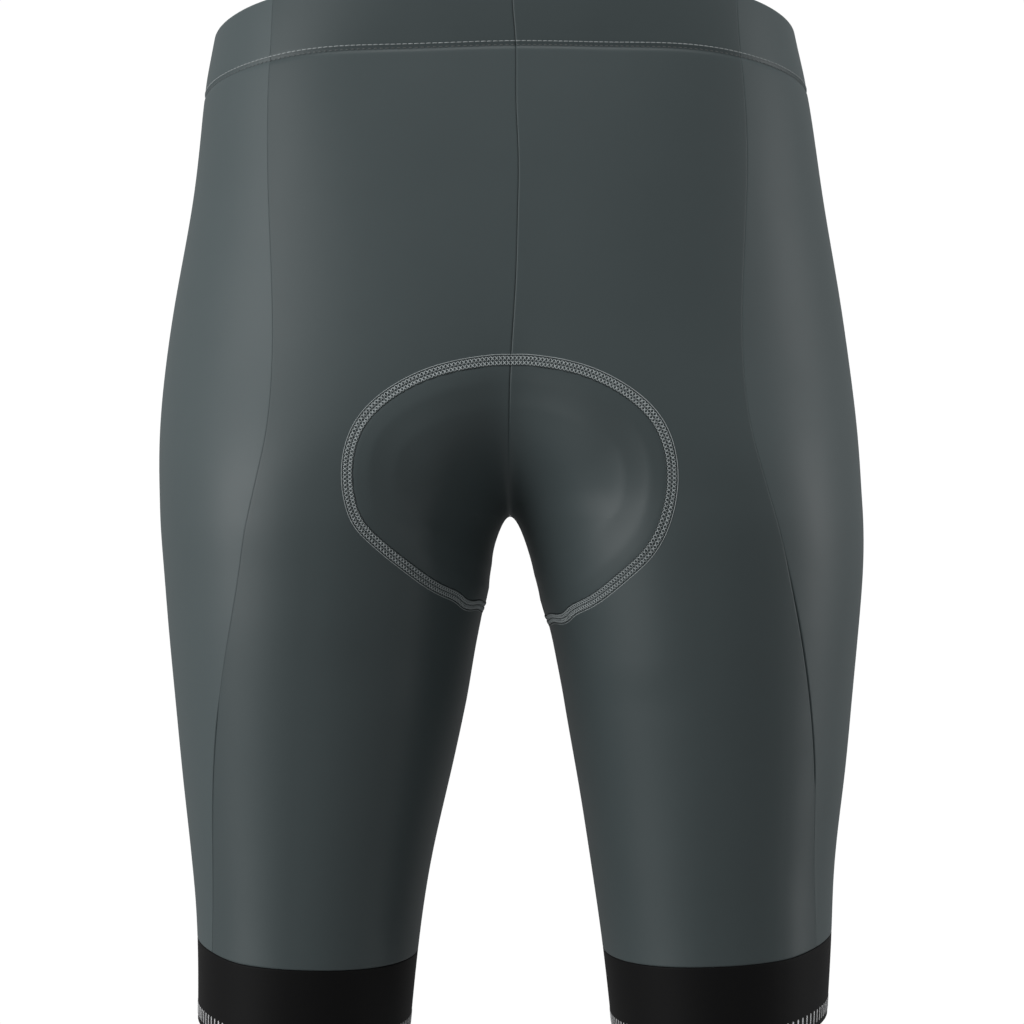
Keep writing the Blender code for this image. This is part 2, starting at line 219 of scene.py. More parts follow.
# What only the back has fades out over this depth, and what only its middle has over this distance sideways
BACK_RUN = 0.06
MIDDLE_SPREAD = 0.045

# Further shifts of the worn cloth upwards or downwards, and where they act: two bounds, and the runs just
# inside them
Window = namedtuple("Window", "low high low_run high_run")
PAD_TILT = 0.0036
PAD_TILT_ACROSS = Window(0.004, 0.095, 0.012, 0.030)
PAD_TILT_HEIGHT = Window(-0.345, -0.235, 0.030, 0.030)
WAIST_RISE = 0.0019
WAIST_FALL = 0.0017
WAIST_FALL_PLACE = 0.125
WAIST_FALL_SPREAD = 0.035
WAIST_HEIGHT = Window(-0.090, 0.005, 0.050, 0.022)
WAIST_BACK_RUN = 0.03
HEM_SIDE_LIFT = 0.0035
HEM_SIDE_FROM = 0.135
HEM_SIDE_RUN = 0.035
HEM_LIFT_TOP = -0.420
HEM_LIFT_RUN = 0.040

# How deep the side seams lie, as shares of the seam depth: flat over the hip, and a groove down the leg
GROOVE_RUN_END = 0.010
LEFT_FLAT, LEFT_GROOVE, LEFT_GROOVE_TOP, LEFT_GROOVE_RUN = 0.14, 1.25, -0.335, 0.016
RIGHT_FLAT, RIGHT_GROOVE, RIGHT_GROOVE_TOP, RIGHT_GROOVE_RUN = 0.20, 1.35, -0.262, 0.040
RIGHT_GROOVE_END = -0.384
PUCKER, PUCKER_Z, PUCKER_SPREAD = 0.8, -0.377, 0.0035
DEEPEST_SEAM = 1.65
# The centre seams, drawn flat at the crotch
MIDDLE_FLAT, MIDDLE_GROOVE, MIDDLE_START, MIDDLE_RUN = 0.03, 0.62, 0.008, 0.040

# Mesh density
SWEEP_SAMPLES = 361
PATH_SAMPLES = 1601
SEAM_STEPS = np.array([0.0, 0.12, 0.28, 0.48, 0.75, 1.1, 1.6, 2.4, 3.6]) / 1000
EDGE_CELL = 0.00025
FINE_CELL = 0.0004
CLOTH_CELL = 0.0026
CROTCH_ROWS = 13
CROTCH_SPAN = 0.012
LAYER_GAP = 0.00002

# Stitch and dash forms: the thickness of a thread or dash along its run, as shares of its middle
STITCH_PROFILE = np.array([0.55, 0.95, 1.0, 0.95, 0.55])
DASH_STEPS = np.array([0.0, 0.03, 0.08, 0.36, 0.64, 0.92, 0.97, 1.0])
DASH_PROFILE = np.array([0.35, 0.75, 1.0, 1.0, 1.0, 1.0, 0.75, 0.35])
DASH_LIFT = 0.0032
DASH_HEIGHT = 0.00036
# The casing's two rows of stitches: on which side of its line each lies, the places of a stitch's rings along
# it, and its shade. The shade is painted light: the upper row is painted lighter as lit thread, and the lower
# row darker as thread in painted shade.
StitchRow = namedtuple("StitchRow", "name side rings shade")
WAIST_STITCH_ROWS = (
    StitchRow("waist_stitches_upper", 0.5, (0.06, 0.25, 0.50, 0.75, 0.94), 1.35),
    StitchRow("waist_stitches_lower", -0.5, (0.22, 0.35, 0.50, 0.65, 0.78), 0.55),
)
# The flat seam's needle rows, as shares of its half width, and the threads that cross between them
NEEDLE_PAIRS = ((0.0, 0.80), (0.80, 0.0), (-0.80, 0.0), (0.0, -0.80))
FLAT_RINGS = np.array([0.04, 0.25, 0.5, 0.75, 0.96])
FLAT_THREAD_SHADE = 1.7

# The panels, each between two seams, with the flat size and area of the cut that shows
Panel = namedtuple("Panel", "name first_seam last_seam cloth flat area")
PANELS = (
    Panel("back", "centre_back", "back_side", "main", (0.165, 0.470), 0.0578),
    Panel("side", "back_side", "front_side", "side", (0.198, 0.455), 0.0644),
    Panel("front", "front_side", "centre_front", "main", (0.155, 0.450), 0.0542),
)
SEAMS = ("centre_back", "back_side", "front_side", "centre_front")
HALVES = (("right", False), ("left", True))

# The stage
CAMERA_SIDE = 0.0010
CAMERA_HEIGHT = -0.2450
FLOOR_HEIGHT = -0.62
FLOOR_RADIUS = 4.0
FLOOR_GREY = 0.86
FLOOR_FADE_FROM = 0.69
FLOOR_FADE_RUN = 0.15
WHITE = 1.02
LIT_POINT = (0, 0, -0.26)
Lamp = namedtuple("Lamp", "name setting place width height")
LAMPS = (
    Lamp("key_left", "key", (-1.61, -1.00, -0.38), 1.3, 1.8),
    Lamp("side_right", "side", (1.90, -0.07, -0.40), 0.7, 1.8),
    Lamp("top_soft", "top", (0.0, -0.28, 1.35), 1.2, 0.6),
)


class ShortsCloth(bpy.types.PropertyGroup):
    """The cloth's thickness and colours."""

    wall: FloatProperty(name="Cloth", description="Thickness of a panel", default=0.0015, unit="LENGTH")
    casing_wall: FloatProperty(
        name="Casing", description="Thickness of the folded waist casing", default=0.0030, unit="LENGTH"
    )
    band_wall: FloatProperty(name="Leg band", description="Its thickness", default=0.0018, unit="LENGTH")
    allowance: FloatProperty(
        name="Seam allowance", description="Width of the overlocked edges", default=0.0050, unit="LENGTH"
    )
    allowance_wall: FloatProperty(
        name="Allowance thickness", description="Thickness of the edges", default=0.0009, unit="LENGTH"
    )
    seam_roll: FloatProperty(
        name="Seam roll", description="How wide an edge rolls in at a seam", default=0.0009, unit="LENGTH"
    )
    seam_depth: FloatProperty(
        name="Seam depth", description="How far a panel's edge sinks at a seam", default=0.0008, unit="LENGTH"
    )
    main_colour: FloatVectorProperty(
        name="Back and front", description="Satin tricot, back and front", default=(0.080, 0.104, 0.108),
        subtype="COLOR", min=0, max=1,
    )
    side_colour: FloatVectorProperty(
        name="Sides", description="Satin tricot of the side panels", default=(0.103, 0.132, 0.137),
        subtype="COLOR", min=0, max=1,
    )
    band_colour: FloatVectorProperty(
        name="Leg bands", description="Elastic cloth of the leg bands", default=(0.0050, 0.0050, 0.0054),
        subtype="COLOR", min=0, max=1,
    )
    pad_colour: FloatVectorProperty(
        name="Pad", description="Fleece on the seat pad", default=(0.035, 0.037, 0.040),
        subtype="COLOR", min=0, max=1,
    )


class ShortsSewing(bpy.types.PropertyGroup):
    """The stitching and the dashes on the leg bands."""

    thread: FloatProperty(name="Thread", description="Thickness of a thread", default=0.00042, unit="LENGTH")
    waist_stitch: FloatProperty(
        name="Waist stitch", description="Length of a stitch at the waist", default=0.0028, unit="LENGTH"
    )
    waist_rows: FloatProperty(
        name="Waist rows", description="Distance between the two waist rows", default=0.0017, unit="LENGTH"
    )
    flat_stitch: FloatProperty(
        name="Pad stitch", description="Length of a stitch round the pad", default=0.00195, unit="LENGTH"
    )
    flat_width: FloatProperty(
        name="Pad seam", description="Width of the flat seam round the pad", default=0.0058, unit="LENGTH"
    )
    thread_colour: FloatVectorProperty(
        name="Thread colour", description="Light grey thread", default=(0.30, 0.33, 0.335),
        subtype="COLOR", min=0, max=1,
    )
    dash_length: FloatProperty(name="Dash", description="Length of a dash", default=0.0068, unit="LENGTH")
    dash_width: FloatProperty(name="Dash width", description="Width of a dash", default=0.0013, unit="LENGTH")
    dash_pitch: FloatProperty(name="Dash pitch", description="Dash to dash", default=0.0036, unit="LENGTH")
    dash_colour: FloatVectorProperty(
        name="Dash colour", description="Reflective grey of the dashes", default=(0.72, 0.73, 0.74),
        subtype="COLOR", min=0, max=1,
    )


class ShortsStage(bpy.types.PropertyGroup):
    """The camera and the lights."""

    distance: FloatProperty(name="Distance", description="From the camera to the waist's middle", default=1.6,
                            unit="LENGTH")
    width_seen: FloatProperty(name="Width seen", description="Width of the picture at the waist's middle",
                              default=0.5325, unit="LENGTH")
    roll: FloatProperty(name="Roll", description="Turn of the camera about its own line of sight",
                        default=math.radians(-0.5), subtype="ANGLE")
    key: FloatProperty(name="Key light", description="Watts of the large light on the left", default=28.5,
                       unit="POWER")
    side: FloatProperty(name="Side light", description="Watts of the weaker light on the right", default=13.5,
                        unit="POWER")
    top: FloatProperty(name="Top light", description="Watts of the light over the shorts", default=10.5,
                       unit="POWER")
    surround: FloatProperty(name="Surround", description="Brightness of the white room round the shorts",
                            default=0.182)


def smooth(knots, values, at):
    """A natural cubic spline through the knots, read at the places asked for; straight beyond both ends."""
    order = np.argsort(knots)
    x = np.asarray(knots, float)[order]
    y = np.asarray(values, float)[order]
    step = np.diff(x)
    slope = np.diff(y) / step
    system = np.eye(len(x))
    target = np.zeros(len(x))
    for i in range(1, len(x) - 1):
        system[i, i - 1:i + 2] = step[i - 1], 2 * (step[i - 1] + step[i]), step[i]
        target[i] = 6 * (slope[i] - slope[i - 1])
    bend = np.linalg.solve(system, target)
    at = np.asarray(at, float)
    i = np.clip(np.searchsorted(x, at) - 1, 0, len(step) - 1)
    right = np.clip((at - x[i]) / step[i], 0, 1)
    left = 1 - right
    inside = left * y[i] + right * y[i + 1]
    inside += ((left ** 3 - left) * bend[i] + (right ** 3 - right) * bend[i + 1]) * step[i] ** 2 / 6
    first = slope[0] - step[0] * bend[1] / 6
    last = slope[-1] + step[-1] * bend[-2] / 6
    return inside + first * np.minimum(at - x[0], 0) + last * np.maximum(at - x[-1], 0)


def column(table, key, value, at):
    """One column of a table, smoothed over another."""
    return smooth([getattr(row, key) for row in table], [getattr(row, value) for row in table], at)


def ease(share):
    """0 to 1 with level ends."""
    share = np.clip(share, 0, 1)
    return share * share * (3 - 2 * share)


def window(values, bounds):
    """1 between a window's bounds, with eased ends inside them."""
    rising = ease((values - bounds.low) / bounds.low_run)
    return rising * ease((bounds.high - values) / bounds.high_run)


def section(z):
    """The half oval at a height: middle and half width over X, fillet, and back, front and middle in y."""
    side = column(SECTIONS, "height", "side", z)
    legs = [row for row in SECTIONS if row.height <= CROTCH_Z]
    seat = [row for row in SECTIONS if row.height >= CROTCH_Z]
    gaps = [row.gap ** 2 for row in legs]
    gap_squared = smooth([row.height for row in legs], gaps, np.minimum(z, CROTCH_Z))
    apart = np.clip(column(seat, "height", "apart", np.maximum(z, CROTCH_Z)), 0, 1)
    fillet = FILLET_CROTCH + FILLET_GROWTH * ease((z - CROTCH_Z) / -CROTCH_Z)
    outer = np.sqrt(side ** 2 + fillet ** 2)
    inner_leg = np.sqrt(np.maximum(gap_squared, 0) + fillet ** 2)
    inner = np.where(z < CROTCH_Z, inner_leg, fillet - (outer - fillet) * (1 - apart) / (1 + apart))
    back = column(SECTIONS, "height", "back", z)
    front = column(SECTIONS, "height", "front", z)
    middle = column(SECTIONS, "height", "middle", z)
    return (outer + inner) / 2, (outer - inner) / 2, fillet, back, front, middle


def seam_angle(z):
    """The angle at which the half oval meets the middle plane, or half a turn on a leg."""
    centre, half, fillet, _, _, _ = section(z)
    share = np.clip((centre - fillet) / half, 0, 1)
    return np.arccos(-share ** (SQUARENESS / 2))


def figure_point(angle, z):
    """The figure at an angle from the side line, negative to the back, and a height."""
    centre, half, fillet, back, front, middle = section(z)
    power = 2 / SQUARENESS
    cosine, sine = np.cos(angle), np.sin(angle)
    over = centre + half * np.sign(cosine) * np.abs(cosine) ** power
    depth = np.where(angle < 0, back, front)
    x = np.sqrt(np.maximum(over ** 2 - fillet ** 2, 0))
    y = middle + depth * np.sign(sine) * np.abs(sine) ** power
    return np.stack([x, y, z + 0 * x], axis=-1)


def inside_measure(x, y, z):
    """Under 1 inside the figure, 1 on it and over 1 outside it."""
    centre, half, fillet, back, front, middle = section(z)
    over = np.sqrt(x ** 2 + fillet ** 2)
    depth = np.where(y < middle, back, front)
    return np.abs((over - centre) / half) ** SQUARENESS + np.abs((y - middle) / depth) ** SQUARENESS


def growth(points):
    """How the inside measure grows along x, y and z."""
    x, y, z = points[..., 0], points[..., 1], points[..., 2]
    nudge = 0.0002
    grow = [
        inside_measure(x + nudge, y, z) - inside_measure(np.abs(x - nudge), y, z),
        inside_measure(x, y + nudge, z) - inside_measure(x, y - nudge, z),
        inside_measure(x, y, z + nudge) - inside_measure(x, y, z - nudge),
    ]
    direction = np.stack(grow, axis=-1) / (2 * nudge)
    direction[..., 0] = np.where(x < nudge / 4, 0, direction[..., 0])
    return direction


def unit(vectors):
    """The vectors at length 1."""
    return vectors / np.linalg.norm(vectors, axis=-1, keepdims=True)


def on_figure(points):
    """Points near the figure, brought onto it along its normal by Newton's rule, twice."""
    for _ in range(2):
        grow = growth(points)
        miss = inside_measure(points[..., 0], points[..., 1], points[..., 2]) - 1
        points = points - grow * (miss / np.sum(grow ** 2, axis=-1))[..., None]
    return points


def pad_run(samples):
    """The pad's outline at even steps of its run: angles and half widths, level at both seams."""
    angle = [point.angle for point in PAD_OUTLINE]
    width = [point.half_width for point in PAD_OUTLINE]
    angle = angle[3:0:-1] + angle + angle[-2:-5:-1]
    width = [-w for w in width[3:0:-1]] + width + [-w for w in width[-2:-5:-1]]
    run = np.arange(len(angle)) - 3
    fine = np.linspace(0, len(PAD_OUTLINE) - 1, samples)
    return smooth(run, angle, fine), smooth(run, width, fine)


def pad_half_width(angle):
    """The pad's half width straight across at an angle round its axis."""
    angles, widths = pad_run(500)
    return np.interp(angle, np.maximum.accumulate(angles), widths, left=0, right=0)


def figure_under_pad(angle, across):
    """The figure in the direction of an angle round the pad's axis, at a distance across, by halving."""
    near = np.zeros(np.broadcast(angle, across).shape)
    far = near + PAD_REACH
    for _ in range(40):
        reach = (near + far) / 2
        y, z = reach * np.sin(angle), PAD_AXIS_Z - reach * np.cos(angle)
        outside = inside_measure(across, y, z) > 1
        far = np.where(outside, reach, far)
        near = np.where(outside, near, reach)
    return np.stack([across + 0 * near, near * np.sin(angle), PAD_AXIS_Z - near * np.cos(angle)], axis=-1)


def pad_path(samples):
    """The pad's outline on the figure, right half, from the back seam to the front seam."""
    angle, width = pad_run(samples)
    return figure_under_pad(np.radians(angle), np.maximum(width, 0))


def inside_pad(points):
    """How far points lie inside the pad's outline, negative outside: the distance to its nearest point."""
    x, y, z = np.abs(points[..., 0]), points[..., 1], points[..., 2]
    inside = pad_half_width(np.degrees(np.arctan2(y, PAD_AXIS_Z - z))) > x
    path = pad_path(400)
    flat = np.stack([x, y, z], axis=-1).reshape(-1, 3)
    squared = np.sum(flat ** 2, axis=1)[:, None] + np.sum(path ** 2, axis=1)[None, :] - 2 * flat @ path.T
    distance = np.sqrt(np.maximum(np.min(squared, axis=1), 0)).reshape(x.shape)
    return np.where(inside, distance, -distance)


def pad_relief(points):
    """How far the pad moves the cloth: a low step at its outline, two creases inside it and a soft lobe.

    The creases run out towards the crotch, where the cloth is drawn tight."""
    depth = inside_pad(points)
    relief = PAD_STEP * ease(depth / PAD_STEP_RUN)
    across, up = points[..., 0] / NO_CREASE_ACROSS, (points[..., 2] - NO_CREASE_Z) / NO_CREASE_UP
    creased = 1 - np.exp(-(across ** 2 + up ** 2))
    for crease in PAD_CREASES:
        fall = 1 - np.exp(-np.maximum(depth - crease.inside, 0) / crease.run)
        relief -= crease.depth * fall * creased
    angle = np.degrees(np.arctan2(points[..., 1], PAD_AXIS_Z - points[..., 2]))
    across = (np.abs(points[..., 0]) - LOBE_ACROSS) / LOBE_SPREAD
    away = ((angle - LOBE_ANGLE) / LOBE_ANGLE_SPREAD) ** 2 + across ** 2
    return relief + LOBE_RISE * np.exp(-away) * ease(depth / LOBE_RUN)


def casing_relief(level):
    """The casing's own form, outwards."""
    over = level + CASING
    drawn = CASING_DRAWN * np.exp(-((over + CASING_DRAWN_BELOW) / CASING_DRAWN_SPREAD) ** 2)
    return CASING_FULL * np.sin(np.pi * np.clip(over / CASING, 0, 1)) ** 0.7 - drawn


def lumbar_hollow(points):
    """How far the cloth lies in at the small of the back: deepest along the casing's stitching."""
    away = np.abs(points[..., 0])
    turn = -np.degrees(np.arccos(np.clip(away / SECTIONS[1].side, 0, 1) ** (SQUARENESS / 2)))
    over = points[..., 2] + CASING - column(WAIST_LINE, "angle", "rise", turn)
    above = np.clip(1 - over / CASING, 0, 1)
    shape = np.where(over > 0, above, np.exp(np.minimum(over, 0) / LUMBAR_FADE))
    at_side = ease((LUMBAR_SIDE - away) / LUMBAR_SIDE_RUN)
    return LUMBAR_HOLLOW * shape * ease(-points[..., 1] / BACK_RUN) * at_side


def shell_point(base, depth, least=SEAM_GAP / 2):
    """A figure point with the pad's relief, moved in by a depth, at least so far from the middle plane."""
    out = pad_relief(base) - lumbar_hollow(base) - depth
    moved = base + unit(growth(base)) * np.asarray(out)[..., None]
    moved[..., 0] = np.maximum(moved[..., 0], least)
    return moved


def row_height(level, angle):
    """A level moved with the waist line near the top and with the leg band's tilt near the hem."""
    turn = np.clip(np.degrees(angle), -90, 90)
    waist = column(WAIST_LINE, "angle", "rise", turn)
    hem = HEM_LIFT_OUTSIDE * np.cos(angle) + HEM_LIFT_FRONT * np.sin(angle)
    up = np.clip((level - CROTCH_Z) / (-CASING - CROTCH_Z), 0, 1) ** TILT_POWER
    down = np.clip((CROTCH_Z - level) / (CROTCH_Z - BAND_SEAM_Z), 0, 1) ** TILT_POWER
    return level + waist * up + hem * down


def row_points(level, share):
    """Points of a half's rows, by a share from -1 at the back seam over 0 at the side to 1 in front."""
    turn = np.sign(share) * (1 - (1 - np.abs(share)) ** 2)
    height = level + 0 * share
    for _ in range(4):
        angle = turn * seam_angle(height)
        height = row_height(level, angle)
    return figure_point(turn * seam_angle(height), height)


def run_length(points):
    """The distance along each row of points, from the row's start."""
    step = np.linalg.norm(np.diff(points, axis=-2), axis=-1)
    return np.concatenate([0 * step[..., :1], np.cumsum(step, axis=-1)], axis=-1)


def seam_places(level, side, whole):
    """Where each seam crosses each row, as distances from the back seam."""
    return {
        "centre_back": 0 * level,
        "back_side": side - column(SIDE_PANEL, "height", "to_back", level),
        "front_side": side + column(SIDE_PANEL, "height", "to_front", level),
        "centre_front": whole,
    }


def from_seam_to_seam(first, last):
    """A function that gives a piece's two edges on each row: half a seam gap inside two seams."""
    def places(level, side, whole):
        seams = seam_places(level, side, whole)
        return seams[first] + SEAM_GAP / 2, seams[last] - SEAM_GAP / 2

    return places


def astride_seam(seam, half):
    """A function that gives a strip's two edges on each row: at a half width on both sides of a seam."""
    def places(level, side, whole):
        middle = seam_places(level, side, whole)[seam]
        return np.maximum(middle - half, 0), np.minimum(middle + half, whole)

    return places


def whole_row(level, side, whole):
    """A leg band's whole way round, from the inseam to the inseam."""
    return 0 * level, whole


Grid = namedtuple("Grid", "base level from_side to_start to_end")


def cloth_grid(levels, places, cell, steps=SEAM_STEPS):
    """A piece's grid on the figure, one row for each level.

    Columns keep fixed distances from both seams near them and share out the rest of the row evenly."""
    steps = np.asarray(steps)
    share = np.linspace(-1, 1, SWEEP_SAMPLES)
    distance = run_length(row_points(levels[:, None], share[None, :]))
    side = distance[:, SWEEP_SAMPLES // 2]
    start, end = places(levels, side, distance[:, -1])
    near = steps[-1]
    middle = int(np.ceil(np.max(end - start - 2 * near) / cell))
    between = np.linspace(0, 1, middle + 1)[1:-1]
    run = np.concatenate([
        start[:, None] + steps,
        (start + near)[:, None] + (end - start - 2 * near)[:, None] * between,
        end[:, None] - steps[::-1],
    ], axis=1)
    at = np.array([np.interp(row, known, share) for row, known in zip(run, distance)])
    base = row_points(levels[:, None], at)
    return Grid(base, levels[:, None] + 0 * at, run - side[:, None], run - start[:, None], end[:, None] - run)


def graded(low, high, stops):
    """Levels from low to high whose spacing follows the stops, (level, spacing) pairs read in between."""
    fine = np.linspace(low, high, 4000)
    known = sorted(stops)
    spacing = np.interp(fine, [level for level, _ in known], [step for _, step in known])
    count = np.concatenate([[0], np.cumsum((fine[1:] - fine[:-1]) / spacing[1:])])
    return np.interp(np.linspace(0, count[-1], int(np.ceil(count[-1])) + 1), count, fine)


def rolled(distance, roll, depth):
    """How far an edge sinks at a distance from it: a quarter round of the roll's width."""
    share = np.clip(1 - distance / roll, 0, 1)
    return depth * (1 - np.sqrt(1 - share ** 2))


def four_corners(*corners):
    """Quads from four arrays of point numbers, one for each corner."""
    return np.stack(corners, axis=-1).reshape(-1, 4)


def wall_mesh(name, outer, inner, paint, slot, ring=False, mirrored=False, uv=None):
    """A closed wall between an outer and an inner grid; its quads are counted out as whole arrays."""
    if mirrored:
        outer, inner = outer * [-1, 1, 1], inner * [-1, 1, 1]
    rows, columns = outer.shape[:2]
    number = np.arange(rows * columns).reshape(rows, columns)
    if ring:
        number = np.concatenate([number, number[:, :1]], axis=1)
    far = number + rows * columns
    face = four_corners(number[:-1, :-1], number[:-1, 1:], number[1:, 1:], number[1:, :-1])
    back = four_corners(far[1:, :-1], far[1:, 1:], far[:-1, 1:], far[:-1, :-1])

    def rim(edge, under):
        return four_corners(edge[1:], edge[:-1], under[:-1], under[1:])

    parts = [face, back, rim(number[0], far[0]), rim(number[-1][::-1], far[-1][::-1])]
    if not ring:
        parts += [rim(number[::-1, 0], far[::-1, 0]), rim(number[:, -1], far[:, -1])]
    quads = np.concatenate(parts)
    if mirrored:
        quads = quads[:, ::-1]
    points = np.concatenate([outer.reshape(-1, 3), inner.reshape(-1, 3)])
    piece = new_piece(name, points, quads.tolist(), paint, slot)
    if uv is not None:
        both = np.concatenate([uv.reshape(-1, 2), uv.reshape(-1, 2)])
        layer = piece.data.uv_layers.new(name="cloth")
        layer.data.foreach_set("uv", both[quads.ravel()].ravel())
    return piece


def new_piece(name, points, faces, paint, slot):
    """A smooth-shaded object from points and faces, placed at the origin, with its material; its slot is not
    used.
    """
    mesh = bpy.data.meshes.new(name)
    mesh.from_pydata(as_worn(points), [], faces)
    mesh.shade_smooth()
    mesh.materials.append(paint)
    piece = bpy.data.objects.new(name, mesh)
    bpy.context.scene.collection.objects.link(piece)
    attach(piece, "root")
    return piece


def as_worn(points):
    """The uneven stand of the worn cloth, left and right.

    Each side moves along X by the table of shifts, read between a leg's inner and outer edge. The centre
    back seam wanders a little. The casing rises at its middle and sinks beside it, the pad's lower end
    hangs lower on the right than on the left, and the leg bands rise at their outer sides."""
    moved = np.array(points, float)
    x, y, z = points[:, 0], points[:, 1], points[:, 2]
    away = np.abs(x)
    inner = np.maximum(column(SECTIONS, "height", "gap", z), 0)
    outer = column(SECTIONS, "height", "side", z)
    across = np.clip((away - inner) / (outer - inner), 0, 1)
    for sign, side in ((-1, "left"), (1, "right")):
        near = column(WORN_SHIFTS, "height", side + "_inner", z)
        far = column(WORN_SHIFTS, "height", side + "_outer", z)
        moved[:, 0] += np.where(x * sign > 0, near + (far - near) * across, 0)
    at_middle = np.exp(-(x / MIDDLE_SPREAD) ** 2)
    drift = smooth(*zip(*BACK_SEAM_DRIFT), np.clip(z, BACK_SEAM_DRIFT[-1][0], BACK_SEAM_DRIFT[0][0]))
    moved[:, 0] += drift * at_middle * ease(-y / BACK_RUN)
    moved[:, 2] -= PAD_TILT * np.sign(x) * window(away, PAD_TILT_ACROSS) * window(z, PAD_TILT_HEIGHT)
    rise = WAIST_RISE * at_middle - WAIST_FALL * np.exp(-((away - WAIST_FALL_PLACE) / WAIST_FALL_SPREAD) ** 2)
    moved[:, 2] += rise * window(z, WAIST_HEIGHT) * ease(-y / WAIST_BACK_RUN)
    at_side = ease((away - HEM_SIDE_FROM) / HEM_SIDE_RUN)
    moved[:, 2] += HEM_SIDE_LIFT * at_side * ease((HEM_LIFT_TOP - z) / HEM_LIFT_RUN)
    return moved


def tubes(centres, ways, sides, height, width, profile):
    """Many short threads in one mesh: rings of a six-sided oval along each one, and flat ends.

    centres is (threads, rings, 3). Each ring lies across the thread: its height along ways and its width
    along sides, both scaled by the profile."""
    count, rings = centres.shape[:2]
    turn = np.arange(6) * np.pi / 3
    across = np.cos(turn)[:, None] * width / 2
    up = np.sin(turn)[:, None] * height / 2
    ring = sides[..., None, :] * across + ways[..., None, :] * up
    points = centres[..., None, :] + ring * profile[:, None, None]
    number = np.arange(count * rings * 6).reshape(count, rings, 6)
    nxt = np.roll(number, -1, axis=2)
    quads = four_corners(number[:, :-1], nxt[:, :-1], nxt[:, 1:], number[:, 1:])
    starts = number[:, 0, ::-1]
    ends = number[:, -1]
    faces = quads.tolist() + starts.tolist() + ends.tolist()
    return points.reshape(-1, 3), faces


def join_parts(parts):
    """Several (points, faces) pairs as one."""
    points, faces, start = [], [], 0
    for some_points, some_faces in parts:
        points.append(some_points)
        faces += [[v + start for v in face] for face in some_faces]
        start += len(some_points)
    return np.concatenate(points), faces


def mirrored_too(points, faces):
    """A shape and its mirror image, with the image's faces turned the right way round."""
    return join_parts([(points, faces), (points * [-1, 1, 1], [face[::-1] for face in faces])])


class Signal:
    """An output socket that can be used in arithmetic; each sign adds a Math node."""

    def __init__(self, paint, socket):
        self.paint = paint
        self.socket = socket

    def math(self, operation, first, second=0.0):
        """A Math node on two values."""
        return self.paint.node("ShaderNodeMath", {"operation": operation}, {0: first, 1: second})

    def __add__(self, other):
        return self.math("ADD", self, other)

    def __radd__(self, other):
        return self.math("ADD", other, self)

    def __sub__(self, other):
        return self.math("SUBTRACT", self, other)

    def __rsub__(self, other):
        return self.math("SUBTRACT", other, self)

    def __mul__(self, other):
        return self.math("MULTIPLY", self, other)

    def __rmul__(self, other):
        return self.math("MULTIPLY", other, self)

    def __truediv__(self, other):
        return self.math("DIVIDE", self, other)

    def limit(self, low, high):
        """The value, kept between two bounds."""
        return self.math("MAXIMUM", self.math("MINIMUM", self, high), low)

    def wave(self):
        """The cosine of the value."""
        return self.math("COSINE", self)


class Paint:
    """A material and its node tree."""

    def __init__(self, name):
        self.material = bpy.data.materials.new(name)
        self.material.use_nodes = True
        self.tree = self.material.node_tree
        self.shader = self.tree.nodes["Principled BSDF"]

    def node(self, kind, settings, inputs, output=0):
        """A node of a kind, with its settings, then its sockets' values or links; returns one output."""
        made = self.tree.nodes.new(kind)
        for name, value in settings.items():
            setattr(made, name, value)
        for name, value in inputs.items():
            if isinstance(value, Signal):
                self.tree.links.new(value.socket, made.inputs[name])
            else:
                made.inputs[name].default_value = value
        return Signal(self, made.outputs[output])

    def place(self, output="Object"):
        """Object coordinates, or the UV map's."""
        return self.node("ShaderNodeTexCoord", {}, {}, output)

    def cloth_place(self):
        """The two ways of the piece's own UV map."""
        both = {0: self.place("UV")}
        return [self.node("ShaderNodeSeparateXYZ", {}, both, way) for way in ("X", "Y")]

    def noise(self, scale, detail=2.0):
        """Noise from 0 to 1 at so many waves a metre."""
        inputs = {"Vector": self.place(), "Scale": scale, "Detail": detail}
        return self.node("ShaderNodeTexNoise", {}, inputs, "Fac")

    def tint(self, factor, colour, low, high):
        """The base colour, between a colour scaled by a low and by a high factor."""
        inputs = {0: factor, 6: rgba(colour, low), 7: rgba(colour, high)}
        self.feed("Base Color", self.node("ShaderNodeMix", {"data_type": "RGBA"}, inputs, 2))

    def set(self, **values):
        """Constants on the shader's own sockets; an underscore stands for a space."""
        for name, value in values.items():
            self.shader.inputs[name.replace("_", " ")].default_value = value

    def feed(self, name, signal):
        """A changing signal into one of the shader's sockets."""
        self.tree.links.new(signal.socket, self.shader.inputs[name])

    def bump(self, height, strength, distance):
        """Relief in the shading, from a height signal."""
        inputs = {"Height": height, "Strength": strength, "Distance": distance}
        self.feed("Normal", self.node("ShaderNodeBump", {}, inputs, "Normal"))


def rgba(colour, factor=1.0):
    """A colour scaled, with its alpha."""
    return (*(min(1.0, channel * factor) for channel in colour), 1.0)


def ripple(way, length):
    """A cosine along one way of the cloth, with waves of a length."""
    return (way * (2 * math.pi / length)).wave()


def satin_cloth(name, colour):
    """Warp-knit tricot with a satin face: fine wales along it, a soft sheen and slight shade changes."""
    paint = Paint(name)
    paint.tint(paint.noise(9.0, 3.0) * 0.7 + paint.noise(60.0) * 0.3, colour, 0.93, 1.07)
    across, up = paint.cloth_place()
    wale, course = ripple(across, 0.00055), ripple(up, 0.00042)
    paint.feed("Roughness", paint.noise(35.0, 3.0) * 0.08 + 0.44)
    paint.bump(wale * 0.6 + course * wale * 0.4, 0.10, 0.00006)
    paint.set(Specular_IOR_Level=0.45, Sheen_Weight=0.12, Sheen_Roughness=0.45)
    paint.set(Sheen_Tint=(0.85, 0.93, 0.95, 1.0))
    return paint.material


